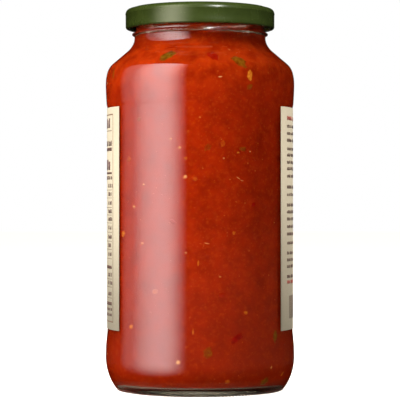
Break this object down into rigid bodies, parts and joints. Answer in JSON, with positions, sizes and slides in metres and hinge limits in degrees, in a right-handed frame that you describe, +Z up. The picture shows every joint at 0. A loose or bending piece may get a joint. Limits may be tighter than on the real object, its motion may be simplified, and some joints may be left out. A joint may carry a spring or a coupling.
{
  "type": "tomato sauce jar",
  "caption": "Shut round glass jar full of chunky tomato sauce, with a green twist-off steel lid and a paper label that wraps two thirds of the way round.",
  "frame": {"origin": "on the table, in the middle of the jar's foot", "axes": "+Z up along the jar's axis, -Y out of the side without a label, +X to the right when looking along +Y"},
  "size_m": [0.084, 0.084, 0.1697],
  "materials": {
    "glass": "clear flint glass, smooth",
    "lid": "satin green lacquer on tinplate",
    "sauce": "wet, mottled with pulp",
    "label": "uncoated cream paper"
  },
  "bodies": {
    "root": {"jar": "glass", "lid": "lid", "sauce": "sauce", "label": "label"}
  },
  "joints": []
}
